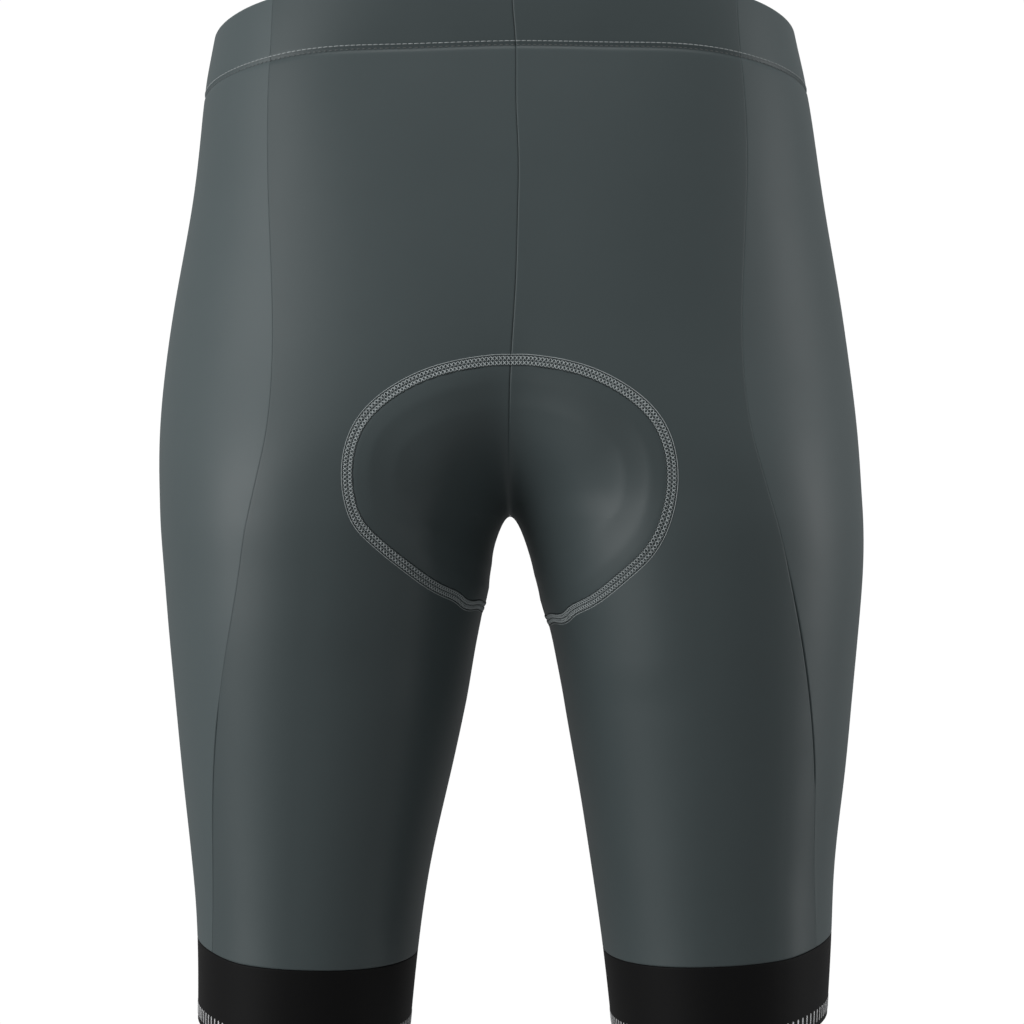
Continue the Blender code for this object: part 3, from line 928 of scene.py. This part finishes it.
def overlock(colour):
    """The overlocked edges inside: cloth under close loops of thread that cross the strip."""
    paint = Paint("overlocked_edge")
    across, up = paint.cloth_place()
    loop = ripple(up + across * 0.35, 0.0016) * 0.5 + 0.5
    paint.tint(loop, colour, 0.55, 1.5)
    paint.bump(loop, 0.4, 0.0003)
    paint.set(Roughness=0.6, Specular_IOR_Level=0.35)
    return paint.material


def band_cloth(colour):
    """Dense matt elastic cloth with fine upright ribs."""
    paint = Paint("black_elastic_cloth")
    paint.tint(paint.noise(14.0, 3.0), colour, 0.85, 1.15)
    paint.bump(ripple(paint.cloth_place()[0], 0.0007), 0.12, 0.00008)
    paint.set(Roughness=0.62, Specular_IOR_Level=0.18, Sheen_Weight=0.05, Sheen_Roughness=0.5)
    return paint.material


def fleece(colour):
    """Brushed fleece over foam, soft and matt."""
    paint = Paint("brushed_fleece")
    pile = paint.noise(900.0, 4.0)
    paint.tint(paint.noise(25.0, 3.0) * 0.6 + pile * 0.4, colour, 0.8, 1.25)
    paint.bump(pile, 0.35, 0.0004)
    paint.set(Roughness=0.92, Sheen_Weight=0.3, Sheen_Roughness=0.6)
    return paint.material


def thread_paint(name, colour, factor):
    """Spun polyester thread, slightly glossy, its shade changing along the seam.

    Its factor scales the colour. On the casing's rows of stitches that factor is painted light and painted
    shade.
    """
    paint = Paint(name)
    paint.tint(paint.noise(400.0) * 0.6 + paint.noise(40.0) * 0.4, colour, 0.75 * factor, 1.2 * factor)
    paint.set(Roughness=0.5, Specular_IOR_Level=0.4, Sheen_Weight=0.1)
    return paint.material


def seam_ground(colour):
    """Pressed cloth and thread under the flat seam, on its own UV map.

    Its needle holes are painted dark as shadow.
    """
    paint = Paint("flat_seam_ground")
    along, across = paint.cloth_place()
    hole_shadow = (ripple(along, 1.0) * 0.5 + 0.5) * (ripple(across, 0.8) * 0.5 + 0.5)
    # The needle holes' darkness is painted shadow, not a colour of the cloth
    paint.tint(hole_shadow.limit(0.0, 1.0), colour, 0.9, 0.03)
    paint.set(Roughness=0.6, Specular_IOR_Level=0.3)
    return paint.material


def reflective_print(colour):
    """A thin grey reflective transfer: fine glass beads in a metallic ground."""
    paint = Paint("reflective_print")
    beads = paint.noise(5000.0)
    paint.tint(beads, colour, 0.85, 1.15)
    paint.feed("Roughness", beads * 0.15 + 0.35)
    paint.set(Metallic=0.35, Specular_IOR_Level=0.5)
    return paint.material


def panel_levels():
    """The panels' rows: close together at the band seam and the casing's stitching.

    About the crotch they close up as squares do, because the cloth leaves the middle plane there as a
    parabola."""
    low = BAND_SEAM_Z + SEAM_GAP / 2
    near = CROTCH_SPAN * np.linspace(0, 1, CROTCH_ROWS) ** 2
    leg = graded(low, CROTCH_Z - CROTCH_SPAN, [
        (low, EDGE_CELL), (low + 0.0012, FINE_CELL), (low + 0.004, CLOTH_CELL),
        (CROTCH_Z - CROTCH_SPAN, 0.0020),
    ])
    hip = graded(CROTCH_Z + CROTCH_SPAN, 0.0, [
        (CROTCH_Z + CROTCH_SPAN, 0.0020), (-CASING - 0.006, 0.0025), (-CASING - 0.003, FINE_CELL),
        (-CASING + 0.003, FINE_CELL), (-CASING + 0.006, 0.0018), (-0.004, 0.0018), (-0.0012, FINE_CELL),
        (0.0, EDGE_CELL),
    ])
    return np.concatenate([leg[:-1], CROTCH_Z - near[:0:-1], CROTCH_Z + near, hip[1:]])


def side_strength(level, half):
    """How deep the side seams lie, by height.

    The right groove ends in a pucker over the knee, and the left one begins lower and runs to the leg
    band."""
    if half == "left":
        return LEFT_FLAT + LEFT_GROOVE * ease((LEFT_GROOVE_TOP - level) / LEFT_GROOVE_RUN)
    groove = ease((RIGHT_GROOVE_TOP - level) / RIGHT_GROOVE_RUN)
    groove *= ease((level - RIGHT_GROOVE_END) / GROOVE_RUN_END)
    pucker = np.exp(-((level - PUCKER_Z) / PUCKER_SPREAD) ** 2)
    return np.minimum(RIGHT_FLAT + RIGHT_GROOVE * groove + PUCKER * pucker, DEEPEST_SEAM)


def middle_strength(level):
    """How deep the centre seams lie, by height: a shallow groove above the crotch."""
    return MIDDLE_FLAT + MIDDLE_GROOVE * ease((level - CROTCH_Z - MIDDLE_START) / MIDDLE_RUN)


def panel_wall(level):
    """A panel's thickness: single cloth, and in the casing two layers round the elastic."""
    cloth = bpy.context.scene.shorts_cloth
    return cloth.wall + (cloth.casing_wall - cloth.wall) * ease((level + CASING - 0.0004) / 0.0012)


def add_panel(panel, paint):
    """One panel of the right half and its mirror image on the left."""
    cloth = bpy.context.scene.shorts_cloth
    levels = panel_levels()
    grid = cloth_grid(levels, from_seam_to_seam(panel.first_seam, panel.last_seam), CLOTH_CELL)
    roll, depth = cloth.seam_roll, cloth.seam_depth
    top = rolled(-grid.level, cloth.casing_wall / 2, cloth.casing_wall / 2)
    foot = rolled(grid.level - levels[0], 0.0008, 0.0007)
    inner = shell_point(grid.base, panel_wall(grid.level) - top - LAYER_GAP)
    uv = np.stack([grid.from_side, grid.level], axis=-1)
    at_middle = middle_strength(grid.level)
    for half, mirrored in HALVES:
        at_side = side_strength(grid.level, half)
        start = rolled(grid.to_start, roll, depth) * (at_middle if panel.name == "back" else at_side)
        end = rolled(grid.to_end, roll, depth) * (at_middle if panel.name == "front" else at_side)
        outer = shell_point(grid.base, start + end + foot + top - casing_relief(grid.level))
        name = f"{panel.name}_panel_{half}"
        piece = wall_mesh(name, outer, inner, paint, panel.cloth + "_cloth", mirrored=mirrored, uv=uv)
        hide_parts(f"{panel.name}_{half}")


class SHORTS_OT_panels(bpy.types.Operator):
    """Adds the back, side and front panels with the waist casing at their top"""

    bl_idname = "shorts.panels"
    bl_label = "Panels"

    def execute(self, context):
        cloth = context.scene.shorts_cloth
        paints = {
            "main": satin_cloth("main_tricot", cloth.main_colour),
            "side": satin_cloth("side_tricot", cloth.side_colour),
        }
        for panel in PANELS:
            add_panel(panel, paints[panel.cloth])
        return {"FINISHED"}


class SHORTS_OT_seam_allowances(bpy.types.Operator):
    """Adds the overlocked edges inside, which lie along every seam of the panels"""

    bl_idname = "shorts.seam_allowances"
    bl_label = "Seam allowances"

    def execute(self, context):
        cloth = context.scene.shorts_cloth
        paint = overlock(cloth.main_colour)
        levels = panel_levels()
        levels = levels[(levels > BAND_SEAM_Z + 0.0008) & (levels < -0.0016)]
        for seam in SEAMS:
            grid = cloth_grid(levels, astride_seam(seam, cloth.allowance / 2), 0.0010, (0.0, FINE_CELL))
            depth = panel_wall(grid.level) + 2 * LAYER_GAP
            rounded = rolled(grid.to_start, 0.0005, 0.0004) + rolled(grid.to_end, 0.0005, 0.0004)
            outer = shell_point(grid.base, depth, 0.0)
            inner = shell_point(grid.base, depth + cloth.allowance_wall - rounded, 0.0)
            uv = np.stack([grid.to_start, grid.level], axis=-1)
            for half, mirrored in HALVES:
                name = f"allowance_{seam}_{half}"
                wall_mesh(name, outer, inner, paint, "main_cloth", mirrored=mirrored, uv=uv)
        return {"FINISHED"}


class SHORTS_OT_bands(bpy.types.Operator):
    """Adds the two black leg bands"""

    bl_idname = "shorts.bands"
    bl_label = "Leg bands"

    def execute(self, context):
        cloth = context.scene.shorts_cloth
        top = BAND_SEAM_Z - SEAM_GAP / 2
        levels = graded(HEM_Z, top, [
            (HEM_Z, 0.0002), (HEM_Z + 0.0012, FINE_CELL), (HEM_Z + 0.003, 0.0020),
            (top - 0.003, 0.0020), (top - 0.001, FINE_CELL), (top, 0.0002),
        ])
        grid = cloth_grid(levels, whole_row, 0.0018)
        fold = rolled(grid.level - HEM_Z, cloth.band_wall / 2, cloth.band_wall / 2)
        sink = fold + rolled(top - grid.level, 0.0007, 0.0006)
        outer = shell_point(grid.base, sink)[:, :-1]
        inner = shell_point(grid.base, cloth.band_wall - fold)[:, :-1]
        uv = np.stack([grid.from_side, grid.level], axis=-1)[:, :-1]
        paint = band_cloth(cloth.band_colour)
        for half, mirrored in HALVES:
            piece = wall_mesh("leg_band_" + half, outer, inner, paint, "band_cloth", True, mirrored, uv)
            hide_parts("band_" + half)
        return {"FINISHED"}


def read_path(path, known, places):
    """The points of a path at places along it, where the places of its own points are known."""
    return np.stack([np.interp(places, known, path[:, axis]) for axis in range(3)], axis=-1)


def crowded_rows(rows, share):
    """Each row's points, moved along the row to shares of its length."""
    distance = run_length(rows)
    places = distance[:, -1:] * share
    return np.array([read_path(row, known, place) for row, known, place in zip(rows, distance, places)])


class SHORTS_OT_seat_pad(bpy.types.Operator):
    """Adds the foam pad inside the seat"""

    bl_idname = "shorts.seat_pad"
    bl_label = "Seat pad"

    def execute(self, context):
        cloth = context.scene.shorts_cloth
        rows, columns = 150, 44
        angle, width = pad_run(rows + 3)
        angle, width = np.radians(angle[1:-1])[:, None], width[1:-1][:, None]
        share = np.linspace(0, 1, columns + 1)[None, :] ** 1.3
        base = crowded_rows(figure_under_pad(angle, width * np.linspace(0, 1, 160)), share)
        from_end = np.minimum(np.arange(rows + 1), rows - np.arange(rows + 1))
        ends = ease(from_end / 22)[:, None]
        pressed = sum(dip.depth * np.exp(-((share - dip.share) / dip.spread) ** 2) for dip in PAD_CHANNELS)
        thick = PAD_EDGE + (PAD_MIDDLE - PAD_EDGE) * (1 - share ** 3) * ends - pressed * ends
        way = unit(growth(base))
        lift = pad_relief(base) * ends - cloth.wall - PAD_CLEARANCE
        outer = base + way * lift[..., None]
        inner = base + way * (lift - thick)[..., None]
        both = [np.concatenate([(side * [-1, 1, 1])[:, :0:-1], side], axis=1) for side in (outer, inner)]
        piece = wall_mesh("pad_foam", *both, fleece(cloth.pad_colour), "pad_cloth")
        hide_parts("seat_pad")
        return {"FINISHED"}


def laid_line(path, places):
    """A path's points at distances along it, with its direction, outward normal and sideways direction."""
    known = run_length(path)
    nudge = 0.0004
    at = read_path(path, known, places)
    along = unit(read_path(path, known, places + nudge) - read_path(path, known, places - nudge))
    way = unit(growth(at))
    return at, along, way, unit(np.cross(way, along))


class SHORTS_OT_waist_stitching(bpy.types.Operator):
    """Adds the twin row of stitches that holds the waist casing down"""

    bl_idname = "shorts.waist_stitching"
    bl_label = "Waist stitching"

    def execute(self, context):
        sewing = context.scene.shorts_sewing
        for row in WAIST_STITCH_ROWS:
            level = -CASING + row.side * sewing.waist_rows
            path = row_points(level, np.linspace(-1, 1, PATH_SAMPLES))
            whole = run_length(path)[-1]
            count = int(round(whole / sewing.waist_stitch))
            share = np.array(row.rings)
            at, _, way, across = laid_line(path, (np.arange(count)[:, None] + share) * whole / count)
            arch = sewing.thread * (0.30 - 0.75 * (2 * share - 1) ** 4)
            centres = shell_point(at, -arch - casing_relief(level + 0 * share) + 0 * at[..., 0])
            half = tubes(centres, way, across, sewing.thread, sewing.thread * 1.25, STITCH_PROFILE)
            # The row's shade paints its thread lighter as if lit, or darker as if in shadow
            paint = thread_paint(row.name, sewing.thread_colour, row.shade)
            new_piece(row.name, *mirrored_too(*half), paint, "main_cloth")
        return {"FINISHED"}


def beside(at, across, offset):
    """Points of the cloth beside a line on it, at an offset across."""
    moved = at + across * offset[..., None]
    moved[..., 0] = np.abs(moved[..., 0])
    return on_figure(moved)


class SHORTS_OT_pad_stitching(bpy.types.Operator):
    """Adds the flat seam that holds the pad: its pressed ground and two columns of crossing threads"""

    bl_idname = "shorts.pad_stitching"
    bl_label = "Pad stitching"

    def execute(self, context):
        sewing = context.scene.shorts_sewing
        path = pad_path(1500)
        whole = run_length(path)[-1]
        count = int(round(whole / sewing.flat_stitch))
        pitch = whole / count
        half = sewing.flat_width / 2
        self.add_ground(path, whole, count, half)
        share = FLAT_RINGS
        parts = []
        for first, last in NEEDLE_PAIRS:
            places = (np.arange(count)[:, None] + share) * pitch
            at, _, way, across = laid_line(path, np.clip(places, 0, whole))
            offset = half * (first + (last - first) * share) + 0 * places
            base = beside(at, across, offset)
            over = 0.35 if last > first else 0.10
            arch = sewing.thread * (over + 0.35 - 0.75 * (2 * share - 1) ** 2) + 0.00012
            centres = shell_point(base, 0 * places - arch)
            lie = unit(centres[:, -1] - centres[:, 0])[:, None, :] + 0 * way
            sides = unit(np.cross(way, lie))
            parts.append(tubes(centres, way, sides, sewing.thread, sewing.thread * 1.15, STITCH_PROFILE))
        parts.append(self.edge_thread(path, whole, count * 3, half, sewing.thread))
        paint = thread_paint("flatlock_thread", sewing.thread_colour, FLAT_THREAD_SHADE)
        new_piece("pad_flatlock", *mirrored_too(*join_parts(parts)), paint, "main_cloth")
        return {"FINISHED"}

    @staticmethod
    def edge_thread(path, whole, rings, half, thread):
        """The one thread that runs along the seam's outer edge without a break."""
        at, along, way, across = laid_line(path, np.linspace(0, whole, rings))
        centres = shell_point(beside(at, across, 0 * at[:, 0] + half), 0 * at[:, 0] - 0.2 * thread)
        ring_profile = np.ones(rings)
        return tubes(centres[None], way[None], across[None], 0.8 * thread, 0.8 * thread, ring_profile)

    @staticmethod
    def add_ground(path, whole, count, half):
        """A thin crowned strip under the threads, its map counting stitches along and needle rows across."""
        rows = count * 2
        at, _, _, across = laid_line(path, np.linspace(0, whole, rows + 1))
        share = np.linspace(-1, 1, 13)
        offset = half * share + 0 * at[:, :1]
        base = beside(at[:, None, :] + 0 * offset[..., None], across[:, None, :], offset)
        rise = 0.00022 * (1 - share ** 6) - 0.00008
        outer = shell_point(base, 0 * offset - rise)
        inner = shell_point(base, 0 * offset + 0.00035)
        stitch = np.linspace(0, count, rows + 1)[:, None] + 0 * offset
        uv = np.stack([stitch, share + 0 * offset], axis=-1)
        paint = seam_ground(bpy.context.scene.shorts_cloth.main_colour)
        outer, inner, uv = outer[:, ::-1], inner[:, ::-1], uv[:, ::-1]
        for half, mirrored in HALVES:
            wall_mesh("flatlock_ground_" + half, outer, inner, paint, "main_cloth", mirrored=mirrored, uv=uv)


class SHORTS_OT_dashes(bpy.types.Operator):
    """Adds the row of short grey dashes along the lower edge of each leg band"""

    bl_idname = "shorts.dashes"
    bl_label = "Leg band dashes"

    def execute(self, context):
        sewing = context.scene.shorts_sewing
        share = np.linspace(-1, 1, PATH_SAMPLES)
        low, high = HEM_Z + DASH_LIFT, HEM_Z + DASH_LIFT + sewing.dash_length
        whole = run_length(row_points((low + high) / 2, share))[-1]
        count = int(round(whole / sewing.dash_pitch))
        rows = []
        for step in DASH_STEPS:
            path = row_points(low + (high - low) * step, share)
            length = run_length(path)[-1]
            rows.append(laid_line(path, (np.arange(count) + 0.5) / count * length))
        at, along, way = [np.stack([row[k] for row in rows], axis=1) for k in range(3)]
        centres = shell_point(at, 0 * at[..., 0] - LAYER_GAP)
        points, faces = tubes(centres, way, along, DASH_HEIGHT, sewing.dash_width, DASH_PROFILE)
        paint = reflective_print(sewing.dash_colour)
        for half, mirrored in HALVES:
            sign = -1 if mirrored else 1
            turned = [face[::sign] for face in faces]
            new_piece("band_dashes_" + half, points * [sign, 1, 1], turned, paint, "band_cloth")
        return {"FINISHED"}


def area_light(lamp, watts):
    """A soft rectangular light that faces the shorts' middle."""
    data = bpy.data.lights.new(lamp.name, "AREA")
    data.shape = "RECTANGLE"
    data.energy = watts
    data.size, data.size_y = lamp.width, lamp.height
    light = bpy.data.objects.new(lamp.name, data)
    bpy.context.scene.collection.objects.link(light)
    light.location = lamp.place
    light.rotation_euler = (Vector(LIT_POINT) - Vector(lamp.place)).to_track_quat("-Z", "Y").to_euler()


class SHORTS_OT_stage(bpy.types.Operator):
    """Adds the camera, the lights, the white surround and the floor"""

    bl_idname = "shorts.stage"
    bl_label = "Stage"

    def execute(self, context):
        stage = context.scene.shorts_stage
        context.scene.view_settings.view_transform = "Standard"
        self.add_camera(stage)
        self.add_surround(stage)
        self.add_floor()
        for lamp in LAMPS:
            area_light(lamp, getattr(stage, lamp.setting))
        return {"FINISHED"}

    @staticmethod
    def add_camera(stage):
        data = bpy.data.cameras.new("camera")
        data.sensor_width = 36.0
        data.lens = data.sensor_width * stage.distance / stage.width_seen
        camera = bpy.data.objects.new("camera", data)
        bpy.context.scene.collection.objects.link(camera)
        place = Matrix.Translation((CAMERA_SIDE, -stage.distance, CAMERA_HEIGHT))
        turn = Matrix.Rotation(math.pi / 2, 4, "X") @ Matrix.Rotation(stage.roll, 4, "Z")
        camera.matrix_world = place @ turn
        bpy.context.scene.camera = camera

    @staticmethod
    def add_surround(stage):
        """White where the camera looks straight at it, and dimmer as a source of light."""
        world = bpy.data.worlds.new("surround")
        world.use_nodes = True
        bpy.context.scene.world = world
        nodes, links = world.node_tree.nodes, world.node_tree.links
        nodes.clear()
        made = {kind: nodes.new("ShaderNode" + kind) for kind in ("OutputWorld", "MixShader", "LightPath")}
        links.new(made["LightPath"].outputs["Is Camera Ray"], made["MixShader"].inputs[0])
        for place, strength in ((1, stage.surround), (2, WHITE)):
            background = nodes.new("ShaderNodeBackground")
            background.inputs["Color"].default_value = (1, 1, 1, 1)
            background.inputs["Strength"].default_value = strength
            links.new(background.outputs[0], made["MixShader"].inputs[place])
        links.new(made["MixShader"].outputs[0], made["OutputWorld"].inputs[0])

    @staticmethod
    def add_floor():
        """A round pale floor under the shorts, which turns into the white surround away from them."""
        rings, spokes = 24, 96
        out = np.linspace(0, 1, rings + 1)[1:, None] ** 1.5 * FLOOR_RADIUS
        turn = np.linspace(0, 2 * np.pi, spokes, endpoint=False)
        flat = np.stack([out * np.cos(turn), out * np.sin(turn), FLOOR_HEIGHT + 0 * out * turn], axis=-1)
        number = np.arange(rings * spokes).reshape(rings, spokes) + 1
        nxt = np.roll(number, -1, axis=1)
        quads = four_corners(number[:-1], number[1:], nxt[1:], nxt[:-1]).tolist()
        fan = np.stack([0 * number[0], number[0], nxt[0]], axis=-1).tolist()
        mesh = bpy.data.meshes.new("floor")
        mesh.from_pydata(np.concatenate([[[0, 0, FLOOR_HEIGHT]], flat.reshape(-1, 3)]), [], quads + fan)
        floor = bpy.data.objects.new("floor", mesh)
        bpy.context.scene.collection.objects.link(floor)
        floor.visible_diffuse = False
        floor.visible_glossy = False
        paint = Paint("pale_floor")
        paint.set(Roughness=0.9, Specular_IOR_Level=0.1, Base_Color=(FLOOR_GREY, FLOOR_GREY, FLOOR_GREY, 1))
        away = paint.node("ShaderNodeVectorMath", {"operation": "LENGTH"}, {0: paint.place()}, "Value")
        fade = ((away - FLOOR_FADE_FROM) / FLOOR_FADE_RUN).limit(0.0, 1.0) * 0.55 + 0.45
        white = paint.node("ShaderNodeEmission", {}, {"Color": (1, 1, 1, 1), "Strength": WHITE})
        lit = Signal(paint, paint.shader.outputs[0])
        both = paint.node("ShaderNodeMixShader", {}, {0: fade, 1: lit, 2: white})
        paint.tree.links.new(both.socket, paint.tree.nodes["Material Output"].inputs["Surface"])
        mesh.materials.append(paint.material)


class SHORTS_PT_sidebar(bpy.types.Panel):
    """Lists the pieces' buttons and their sizes and colours"""

    bl_idname = "SHORTS_PT_sidebar"
    bl_label = "Shorts"
    bl_space_type = "VIEW_3D"
    bl_region_type = "UI"
    bl_category = "Shorts"

    def draw(self, context):
        for operator in OPERATORS:
            self.layout.operator(operator.bl_idname)
        for group in (context.scene.shorts_cloth, context.scene.shorts_sewing, context.scene.shorts_stage):
            box = self.layout.box()
            for name in group.__annotations__:
                box.prop(group, name)


OPERATORS = (
    SHORTS_OT_panels,
    SHORTS_OT_seam_allowances,
    SHORTS_OT_bands,
    SHORTS_OT_seat_pad,
    SHORTS_OT_waist_stitching,
    SHORTS_OT_pad_stitching,
    SHORTS_OT_dashes,
    SHORTS_OT_stage,
)
GROUPS = (("shorts_cloth", ShortsCloth), ("shorts_sewing", ShortsSewing), ("shorts_stage", ShortsStage))


def register():
    """Registers the settings, the operators and the panel."""
    for name, group in GROUPS:
        bpy.utils.register_class(group)
        setattr(bpy.types.Scene, name, PointerProperty(type=group))
    for entry in (*OPERATORS, SHORTS_PT_sidebar):
        bpy.utils.register_class(entry)


def unregister():
    """Takes them away again."""
    for entry in (SHORTS_PT_sidebar, *reversed(OPERATORS)):
        bpy.utils.unregister_class(entry)
    for name, group in reversed(GROUPS):
        delattr(bpy.types.Scene, name)
        bpy.utils.unregister_class(group)


def main():
    """Makes every piece and the stage."""
    register()
    for operator in OPERATORS:
        group, name = operator.bl_idname.split(".")
        getattr(getattr(bpy.ops, group), name)()


if __name__ == "__main__":
    main()
